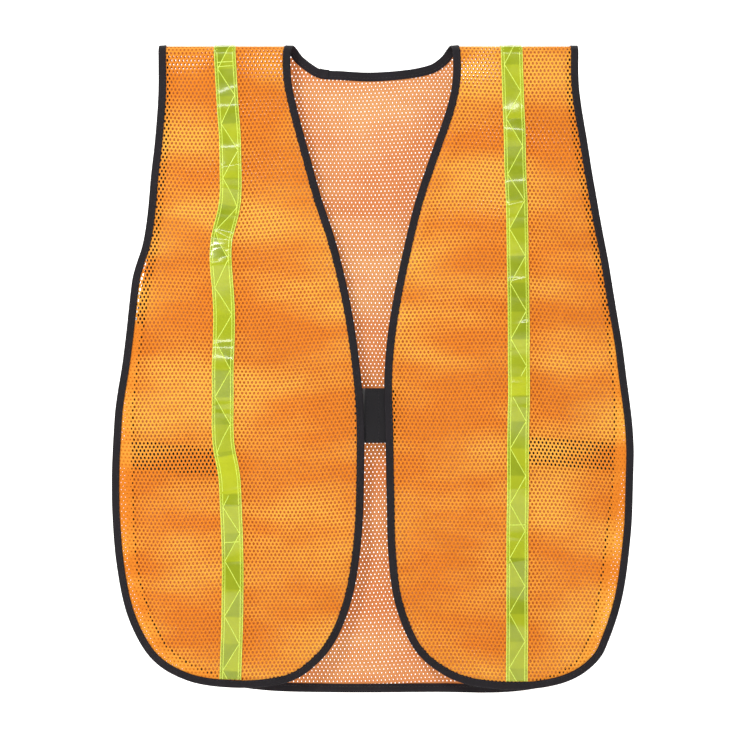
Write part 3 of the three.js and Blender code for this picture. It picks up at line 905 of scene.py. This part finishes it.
# s of each cross weld and each crease, in millimetres; creases have a height, half width and lean
CROSS_WELDS = {"right": [-8, -12, -452], "left": [-436]}
CREASES = {
    "right": [(-104, 0.30, 2.2, 0.1), (-117, 0.25, 2.0, 0.0), (-126, 0.45, 2.4, -0.08),
              (-149, 0.42, 2.2, 0.1), (-168, 0.50, 3.0, -0.15), (-181, 0.55, 3.0, 0.12),
              (-196, 0.5, 3.0, -0.1), (-213, 0.35, 2.4, 0.1), (-268, 0.22, 2.0, 0.1),
              (-300, 0.40, 2.2, 0.05), (-311, 0.62, 3.2, -0.05), (-325, 0.42, 2.4, 0.1),
              (-333, 0.45, 2.2, -0.08), (-384, 0.25, 3.0, 0.0), (-405, 0.30, 2.0, 0.1),
              (-418, 0.34, 2.2, -0.1), (-470, 0.24, 2.4, 0.1), (-520, 0.28, 2.4, -0.1)],
    "left": [(-60, 0.2, 2.0, 0.1), (-100, 0.24, 2.2, -0.1), (-140, 0.40, 2.6, 0.3),
             (-152, 0.35, 2.0, 0.0), (-185, 0.2, 2.0, 0.1), (-210, 0.22, 1.8, 0.1),
             (-226, 0.22, 2.0, -0.1), (-251, 0.25, 1.8, 0.15), (-274, 0.28, 1.8, 0.15),
             (-306, 0.30, 2.2, 0.0), (-318, 0.40, 2.4, 0.05), (-328, 0.55, 2.8, -0.05),
             (-402, 0.28, 2.2, 0.1), (-448, 0.3, 2.0, -0.1), (-470, 0.32, 2.0, 0.1),
             (-495, 0.28, 2.2, 0.0), (-540, 0.25, 2.4, 0.1)],
}


def stripe_middle(side):
    """The tape's middle line from the front hem over the shoulder to the back hem, from the frame."""
    spots = np.array([place_of(v.co) for where in ("front", "back")
                      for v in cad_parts[f"{side}_{where}_stripe_face"].data.vertices])
    middle = np.median(spots[:, 0])
    at = np.arange(spots[:, 1].min(), spots[:, 1].max(), 4 * MM)
    sides = []
    for mask in (spots[:, 0] < middle, spots[:, 0] > middle):
        edge = spots[mask][np.argsort(spots[mask][:, 1])]
        sides.append(np.interp(at, edge[:, 1], edge[:, 0]))
    return np.stack([(sides[0] + sides[1]) / 2, at], -1)


class Tape:
    """One reflective tape: places on it are (t, d), the length along it and the distance across."""

    def __init__(self, side):
        self.side = side
        self.path = spaced(stripe_middle(side), 1.5 * MM)
        self.t = reach_of(self.path)
        self.crest = np.interp(TOP, self.path[:, 1], self.t)
        self.tip = np.interp(ZIGZAG_TIP[side], self.path[:, 1], self.t)
        along = heading(self.path)
        self.across = np.stack([along[:, 1], -along[:, 0]], -1)

    def place(self, t, d):
        x, s, nx, ns = (np.interp(t, self.t, column) for column in (*self.path.T, *self.across.T))
        return x + nx * d, s + ns * d

    def height(self, t, d):
        """The film's upper face: pillowed between its welds, and creased across."""
        _, s = self.place(t, 0 * d)
        pillow = 0.22 * MM * np.clip(1 - (d / WELD_INNER) ** 2, 0, 1) ** 0.5
        rim = 0.10 * MM * np.clip(1 - ((np.abs(d) - STITCH_LINE) / (1.2 * MM)) ** 2, 0, 1)
        crease = 0 * d
        for where, tall, half, lean in CREASES[self.side]:
            crease = crease + tall * MM * np.exp(-(((s - where * MM) - lean * d) / (half * MM)) ** 2)
            behind = FOLD_LENGTH - where * MM * 0.93 - 11 * MM
            crease = crease + tall * MM * 0.7 * np.exp(-(((s - behind) + lean * d) / (half * MM)) ** 2)
        wave = 0.05 * MM * np.sin(t / (3.1 * MM)) * np.sin(t / (11.7 * MM) + d / (5 * MM))
        hold = smooth(0, 1.6 * MM, 9.4 * MM - np.abs(d))
        return FILM_HEIGHT + pillow + rim + (crease + wave) * hold

    def zigzag(self, t):
        phase = np.abs(((t - self.tip) / ZIGZAG + 1) % 2 - 1)
        return WELD_INNER * (2 * phase - 1)

    def plain(self, t):
        low, high = np.interp(PLAIN[self.side], self.path[:, 1], self.t)
        return (t > low) & (t < high)

    def part(self, where):
        """The stretch of t on the front or the back."""
        return (0, self.crest) if where == "front" else (self.crest, self.t[-1])

    def finish(self, made, where, node, slot):
        if node:
            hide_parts(f"{self.side}_{where}_stripe_{node}")
        return go_with(made, self.side if where == "front" else "back")


def film(tape, where):
    """The clear prismatic face with its sealed cells."""
    low, high = tape.part(where)
    t = np.linspace(low, high, round((high - low) / (1.4 * MM)))
    d = np.linspace(-WELD_OUTER - 0.2 * MM, WELD_OUTER + 0.2 * MM, 19)
    tt, dd = np.meshgrid(t, d, indexing="ij")
    x, s = tape.place(tt, dd)
    top = on_cloth(x, s, tape.height(tt, dd))
    bottom = on_cloth(x[:, ::-1], s[:, ::-1], np.full(x.shape, 0.82 * MM))[:, [0, 6, 12, 18]]
    solid = np.concatenate([top, bottom], 1)
    rows, columns = solid.shape[:2]
    uv_d = np.concatenate([d, d[::-1][[0, 6, 12, 18]]])
    uv = np.stack([np.repeat(t, columns), np.tile(uv_d, rows)], -1)
    made = new_object(f"film_{tape.side}_{where}", solid, grid_faces(rows, columns, True, True), FILM, uv)
    tone = np.random.default_rng(11).random(400)
    above = dd > tape.zigzag(tt)
    turns = (tt - tape.tip) / ZIGZAG / 2
    cell = np.where(above, np.floor(turns) * 2, np.floor(turns + 0.5) * 2 + 1)
    value = tone[cell.astype(int) % 400] * 0.75
    value[tape.plain(tt)] = 1.0
    values = np.concatenate([value, value[:, ::-1][:, [0, 6, 12, 18]]], 1)
    layer = made.data.attributes.new("cell", "FLOAT", "POINT")
    layer.data.foreach_set("value", values.astype(np.float32).ravel())
    facing_out(made)
    return tape.finish(made, where, "face", "lime_prismatic")


def backing(tape, where):
    low, high = tape.part(where)
    t = np.linspace(low, high, round((high - low) / (3 * MM)))
    half = STRIPE_WIDTH / 2
    across = np.array([-1, -0.98, -0.5, 0, 0.5, 0.98, 1, 0.98, 0.5, 0, -0.5, -0.98]) * half
    high_at = np.array([0.62, 0.84, 0.84, 0.84, 0.84, 0.84, 0.62, 0.42, 0.42, 0.42, 0.42, 0.42]) * MM
    tt, dd = np.meshgrid(t, across, indexing="ij")
    x, s = tape.place(tt, dd)
    solid = on_cloth(x, s, np.broadcast_to(high_at, tt.shape))
    made = new_object(f"backing_{tape.side}_{where}", solid,
                      grid_faces(len(t), len(across), True, True), FILM_BACK)
    facing_out(made)
    return tape.finish(made, where, "backing", "lime_backing")


def weld_lines(tape, where):
    """Raised weld lines: two along each edge, the zigzag, and any cross weld."""
    low, high = tape.part(where)
    even = np.linspace(low, high, round((high - low) / (3 * MM)))
    first = math.ceil((low - tape.tip) / ZIGZAG)
    tips = tape.tip + np.arange(first, math.floor((high - tape.tip) / ZIGZAG) + 1) * ZIGZAG
    fine = np.unique(np.concatenate([np.linspace(low, high, round((high - low) / (2.1 * MM))), tips]))
    lines = [(even, np.full(len(even), d)) for d in (-WELD_OUTER, -WELD_INNER, WELD_INNER, WELD_OUTER)]
    gap = tape.plain(fine)
    for run in (fine[fine < fine[gap].min()], fine[fine > fine[gap].max()]) if gap.any() else (fine,):
        lines.append((run, tape.zigzag(run)))
    for where_s in CROSS_WELDS[tape.side] if where == "front" else ():
        at = np.interp(where_s * MM, tape.path[:, 1], tape.t)
        d = np.linspace(-WELD_INNER, WELD_INNER, 9)
        lines.append((np.full(9, at) + 0.02 * d, d))
    turn = np.radians([0, 60, 120, 180, 240, 300])
    points, faces, count = [], [[], []], 0
    for t, d in lines:
        along = heading(np.stack([t, d], -1))
        tt = t[:, None] - along[:, 1:] * 0.40 * MM * np.cos(turn)
        dd = d[:, None] + along[:, :1] * 0.40 * MM * np.cos(turn)
        x, s = tape.place(tt, dd)
        rise = tape.height(t, d)[:, None] + 0.16 * MM * np.sin(turn) + 0.02 * MM
        points.append(on_cloth(x, s, rise).reshape(-1, 3))
        quads, first, last = grid_faces(len(t), 6, around=True, ends=True)
        faces[0].append(quads + count)
        faces[1] += [first + count, last + count]
        count += len(points[-1])
    made = new_object(f"welds_{tape.side}_{where}", np.concatenate(points),
                      [np.concatenate(f) for f in faces], WELD)
    facing_out(made)
    return tape.finish(made, where, None, "lime_prismatic")


def tape_stitches(tape, where):
    low, high = tape.part(where)
    made = []
    for name, d in (("in", -STITCH_LINE), ("out", STITCH_LINE)):
        t = np.arange(low + 2 * MM, high - 2 * MM, 3.3 * MM)
        x, s = tape.place(t, np.full(len(t), d))
        row = cloth_beads(f"tape_stitches_{tape.side}_{where}_{name}", x, s,
                          FILM_HEIGHT + 0.2 * MM, 2.3 * MM, 0.36 * MM, LIME_THREAD)
        made.append(tape.finish(row, where, None, "thread"))
    return made


def reflective_tapes():
    for side in ("left", "right"):
        tape = Tape(side)
        for where in ("front", "back"):
            film(tape, where)
            backing(tape, where)
            weld_lines(tape, where)
            tape_stitches(tape, where)


# ---- tabs and straps ----------------------------------------------------
def slab_piece(name, path, low_z, high_z, thickness, material, corner=1.2 * MM, crown=0.0, slant=0.0):
    """A flat tape swept along a path of (x, y), standing between two heights, with soft edges."""
    path = np.asarray(path, float)
    along = heading(path)
    normal = np.stack([along[:, 1], -along[:, 0]], -1)
    half, width = thickness / 2, (high_z - low_z) / 2
    ring_z, ring_n = [], []
    for k in range(11):
        u = -1 + 2 * k / 10
        ring_z.append(u * (width - half * 0.6))
        ring_n.append(half + crown * (1 - u * u))
    ring_z += [width, width]
    ring_n += [half * 0.45, -half * 0.45]
    for k in range(11):
        ring_z.append((1 - 2 * k / 10) * (width - half * 0.6))
        ring_n.append(-half)
    ring_z += [-width, -width]
    ring_n += [-half * 0.45, half * 0.45]
    ring_z, ring_n = np.array(ring_z), np.array(ring_n)
    reach = reach_of(path)
    to_end = np.minimum(reach, reach[-1] - reach)
    pull = corner * (1 - np.sqrt(np.clip(1 - (1 - np.clip(to_end / corner, 0, 1)) ** 2, 0, 1)))
    shrink = 1 - pull / width
    middle = (low_z + high_z) / 2 + slant * (path[:, 0] - path[:, 0].mean())
    x = path[:, None, 0] + normal[:, None, 0] * ring_n
    y = path[:, None, 1] + normal[:, None, 1] * ring_n
    z = middle[:, None] + ring_z * shrink[:, None]
    uv = np.stack([np.repeat(reach, len(ring_z)), np.tile(ring_z, len(path))], -1)
    made = new_object(name, np.stack([x, y, z], -1),
                      grid_faces(len(path), len(ring_z), around=True, ends=True), material, uv)
    return facing_out(made)


def flat_stitches(name, corners, y, out, length=2.2 * MM, gap=0.9 * MM):
    """Rows of stitches on a flat face at y, along a chain of (x, z) corners."""
    rows = []
    for a, b in zip(corners, corners[1:]):
        a, b = np.array(a, float), np.array(b, float)
        count = max(1, round(np.linalg.norm(b - a) / (length + gap)))
        way = (b - a) / np.linalg.norm(b - a)
        for k in range(count):
            rows.append((a + (b - a) * (k + 0.5) / count, way))
    centres = np.array([(p[0], y, p[1]) for p, _ in rows])
    alongs = np.array([(w[0] * length, 0, w[1] * length) for _, w in rows])
    normals = np.tile([0.0, out, 0.0], (len(rows), 1))
    made = beads(name, centres, alongs, normals, THREAD_WIDTH, THREAD)
    return made


def inset(low, high, by):
    """The rectangle's corners in (x, z), moved in and closed."""
    x0, x1, z0, z1 = low.x + by, high.x - by, low.z + by, high.z - by
    return [(x0, z0), (x1, z0), (x1, z1), (x0, z1), (x0, z0)]


def hook_field(low, high, y):
    """The hooks on the rear of the tab: rows of little mushroomed stalks."""
    xs = np.arange(low.x + 2.2 * MM, high.x - 1.5 * MM, 1.1 * MM)
    zs = np.arange(low.z + 2.2 * MM, high.z - 2.0 * MM, 1.0 * MM)
    gx, gz = np.meshgrid(xs, zs)
    gx = gx.ravel() + RNG.uniform(-0.12, 0.12, gx.size) * MM
    gz = gz.ravel() + RNG.uniform(-0.12, 0.12, gz.size) * MM
    turn = np.radians([45, 135, 225, 315])
    profile = np.array([(0.16, 0), (0.13, 0.45), (0.26, 0.55), (0.06, 0.72)]) * MM
    x = gx[:, None, None] + profile[None, :, None, 0] * np.cos(turn)
    z = gz[:, None, None] + profile[None, :, None, 0] * np.sin(turn)
    yy = np.broadcast_to(y + profile[None, :, None, 1], x.shape)
    one = grid_faces(4, 4, around=True, ends=True)
    offsets = np.arange(len(gx))[:, None, None] * 16
    faces = [(part[None] + offsets).reshape(-1, 4) for part in one]
    return facing_out(new_object("hooks", np.stack([x, yy, z], -1), faces, HOOK_PILE))


def hook_tab():
    flap_low, flap_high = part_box("hook_tab_flap")
    end_low, end_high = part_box("hook_tab_end")
    thick = flap_high.y - flap_low.y
    middle = (flap_low.y + flap_high.y) / 2
    xs = np.concatenate([np.linspace(end_high.x, end_low.x, 6), np.linspace(end_low.x, flap_high.x, 6)[1:],
                         np.linspace(flap_high.x, flap_low.x + 1.4 * MM, 14)[1:],
                         flap_low.x + np.array([1.0, 0.6, 0.3, 0.1, 0.0]) * MM])
    path = np.stack([xs, np.full(len(xs), middle)], -1)
    tab = slab_piece("hook_tab", path, flap_low.z, flap_high.z, thick * 0.9, WEBBING, crown=0.05 * MM)
    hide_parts("hook_tab_flap", "hook_tab_end")
    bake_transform(tab)
    low = Vector((flap_low.x, 0, flap_low.z))
    high = Vector((flap_high.x - 2.4 * MM, 0, flap_high.z))
    front = flap_low.y + 0.02 * MM
    border = flat_stitches("hook_tab_border_stitches", inset(low, high, 1.7 * MM), front, -1)
    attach(border, "hook_tab")
    hooks = hook_field(low, high, flap_high.y - 0.12 * MM)
    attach(hooks, "hook_tab")
    return tab


def tack(node, tab_end, body, name):
    """The box of stitches that sews a tab's end behind the binding, seen on its inner face."""
    low, high = tab_end
    corners = inset(low, high, 1.3 * MM)
    made = flat_stitches(name, corners + [corners[2]], high.y + 0.06 * MM, 1)
    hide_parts(node)
    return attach(made, body)


def loop_tab():
    low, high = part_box("loop_tab")
    hook_low, hook_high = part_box("hook_tab_end")
    thick = hook_high.y - hook_low.y
    sewn = (hook_low.y + hook_high.y) / 2
    back = high.y - thick / 2
    step = -10.2 * MM
    xs = np.concatenate([low.x + np.array([0, 0.1, 0.3, 0.6, 1.0]) * MM,
                         np.linspace(low.x + 1.6 * MM, high.x - 1.6 * MM, 30),
                         high.x - np.array([1.0, 0.6, 0.3, 0.1, 0]) * MM])
    ys = sewn + (back - sewn) * smooth(step - 1.6 * MM, step + 1.2 * MM, xs)
    tab = slab_piece("loop_tab_tape", np.stack([xs, ys], -1), low.z, high.z, thick * 0.9, LOOP_PILE)
    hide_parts("loop_tab")
    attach(tab, "right_front")
    return tab


def strap_tack(name, xs, bottom, y, out, body):
    """A zigzag bar tack up the end of a strap, between two places across it."""
    zig = [(xs[k % 2], bottom + (1.2 + k * 1.5) * MM) for k in range(16)]
    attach(flat_stitches(name, zig, y, out, 1.6 * MM, 0.2 * MM), body)


def strap_back_end(side, out, thick):
    """The end of the strap that is sewn to the back, with its tack."""
    low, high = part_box(f"{side}_strap_back_end")
    near, far = sorted((abs(low.x), abs(high.x)))
    path = np.stack([np.linspace(near, far, 10) * out, np.full(10, (low.y + high.y) / 2)], -1)
    end = slab_piece(f"strap_{side}_back_end", path, low.z, high.z, thick * 0.9, ELASTIC, corner=0.4 * MM)
    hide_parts(f"{side}_strap_back_end")
    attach(end, "back")
    strap_tack(f"strap_{side}_back_tack", (out * (near + 1.4 * MM), out * (near + 3.2 * MM)), low.z,
               low.y + 0.05 * MM, -1, "back")


def strap(side):
    """The side strap, folded once behind the front, in two lengths."""
    leaf_low, leaf_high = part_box(f"{side}_strap_front_leaf")
    back_low, back_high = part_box(f"{side}_strap_back_leaf")
    front_low, front_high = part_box(f"{side}_strap_front_end")
    out = 1 if side == "left" else -1
    thick = leaf_high.y - leaf_low.y
    front_y = (leaf_low.y + leaf_high.y) / 2
    back_y = (back_low.y + back_high.y) / 2
    sewn_y = (front_low.y + front_high.y) / 2
    inner = min(abs(leaf_low.x), abs(leaf_high.x))
    outer = max(abs(leaf_low.x), abs(leaf_high.x))
    far = max(abs(front_low.x), abs(front_high.x))
    back_far = max(abs(back_low.x), abs(back_high.x))
    radius = (back_y - front_y) / 2
    bend_x = inner + radius * 0.35
    parted = (inner + outer) / 2
    slant = {"right": -0.085, "left": -0.075}[side]
    lower = {"right": 5.0 * MM, "left": 1.5 * MM}[side]

    xs = np.concatenate([np.linspace(far, outer, 8), np.linspace(outer, parted, 16)[1:]])
    ys = sewn_y + (front_y - sewn_y) * smooth(outer + 3 * MM, outer - 8 * MM, xs)
    turn = np.radians(np.linspace(-90, -270, 15))
    loop = np.stack([bend_x + radius * np.cos(turn), (front_y + back_y) / 2 + radius * np.sin(turn)], -1)
    run_in = np.stack([np.linspace(parted, bend_x, 12)[:-1], np.full(11, front_y)], -1)
    run_out = np.stack([np.linspace(bend_x, back_far, 20)[1:], np.full(19, back_y)], -1)
    second = np.vstack([run_in, loop, run_out])
    first = np.stack([xs, ys], -1)
    middle_x = (first[:, 0].max() + inner) / 2

    made = []
    for name, path in (("outer", first), ("inner", second)):
        path = path * [out, 1]
        tilt = slant * (path[:, 0].mean() - out * middle_x) - lower
        piece = slab_piece(f"strap_{side}_{name}", path, leaf_low.z + tilt, leaf_high.z + tilt,
                           thick * 0.95, ELASTIC, corner=0.5 * MM, slant=slant)
        made.append(piece)
    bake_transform(made[0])
    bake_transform(made[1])
    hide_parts(f"{side}_strap_front_leaf", f"{side}_strap_front_end")
    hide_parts(f"{side}_strap_back_leaf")

    strap_back_end(side, out, thick)
    strap_tack(f"strap_{side}_front_tack", (out * (far - 3.4 * MM), out * (far - 5.2 * MM)), leaf_low.z,
               sewn_y + thick / 2 + 0.05 * MM, 1, f"{side}_front")
    return made


# ---- the vest -----------------------------------------------------------
def make_vest():
    sheets = knit_sheets()
    trims = bindings()
    lap = binding_lap()
    reflective_tapes()
    hook_tab()
    tack("hook_tab_tack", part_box("hook_tab_end"), "left_front", "hook_tab_box_stitches")
    loop_tab()
    low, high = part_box("loop_tab")
    sewn_high = Vector((-11.4 * MM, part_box("hook_tab_end")[1].y, high.z))
    tack("loop_tab_tack", (low, sewn_high), "right_front", "loop_tab_box_stitches")
    for side in ("left", "right"):
        strap(side)
    return sheets, trims, lap


def net_area(sheet):
    """The yarn's own area: the sheet without its holes."""
    return sum(face.area for face in sheet.data.polygons)


def declare(sheets, trims, lap):
    for side, sheet in sheets.items():
        net_area(sheet)


sheets, trims, lap = make_vest()
for side in sheets:
    go_with(sheets[side], side)


# ---- camera, light and ground -------------------------------------------
def plain(name, color, roughness):
    shade = Shade(name, color, roughness)
    grain = shade.noise(3, 2, seed=4)
    low = tuple(c * 0.985 for c in color)
    shade.set("Base Color", shade.ramp(grain, 0.3, 0.7, low, color))
    shade.bsdf.inputs["Emission Color"].default_value = (1, 1, 1, 1)
    shade.bsdf.inputs["Emission Strength"].default_value = GROUND_GLOW
    return shade.material


def backdrop():
    """A white sweep: floor, curve and wall in one surface."""
    floor, wall, round_off, reach = CAD_BOX[0].z - 0.06, 2.6, 0.5, 30
    line = [(-reach, floor), (wall - round_off, floor)]
    for k in range(1, 12):
        a = math.radians(-90 + 90 * k / 12)
        line.append((wall - round_off + round_off * math.cos(a), floor + round_off + round_off * math.sin(a)))
    line += [(wall, floor + round_off), (wall, 3.6)]
    points = [(x, y, z) for y, z in line for x in (-reach, reach)]
    white = plain("white_sweep", (0.97, 0.97, 0.97), 0.9)
    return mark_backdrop(new_object("sweep", points, grid_faces(len(line), 2), white))


def area_light(name, location, target, size, power, color=(1, 1, 1)):
    light = bpy.data.lights.new(name, "AREA")
    light.shape = "RECTANGLE"
    light.size, light.size_y = size
    light.energy = power
    light.color = color
    made = bpy.data.objects.new(name, light)
    made.location = location
    made.rotation_euler = (Vector(target) - Vector(location)).to_track_quat("-Z", "Y").to_euler()
    bpy.context.scene.collection.objects.link(made)
    return made


def camera():
    lens = bpy.data.cameras.new("camera")
    lens.lens = 85
    made = bpy.data.objects.new("camera", lens)
    made.location = CAMERA_PLACE
    made.rotation_euler = (math.radians(90), 0, 0)
    bpy.context.scene.collection.objects.link(made)
    bpy.context.scene.camera = made


def light_scene():
    world = bpy.data.worlds.new("world")
    world.use_nodes = True
    world.node_tree.nodes["Background"].inputs["Color"].default_value = (1, 1, 1, 1)
    world.node_tree.nodes["Background"].inputs["Strength"].default_value = WORLD_LIGHT
    bpy.context.scene.world = world
    area_light("key", (-1.3, -2.2, 1.9), (0, 0, -0.3), (0.8, 0.8), 64, (1.0, 0.99, 0.97))
    area_light("strip", (-0.25, -1.6, 0.50), (0, 0, -0.3), (1.5, 0.09), 6)
    area_light("wall_wash", (0, 1.0, 2.4), (0, 2.6, -0.3), (3.0, 1.0), 80)
    bpy.context.scene.view_settings.view_transform = "Standard"


camera()
backdrop()
light_scene()
declare(sheets, trims, lap)
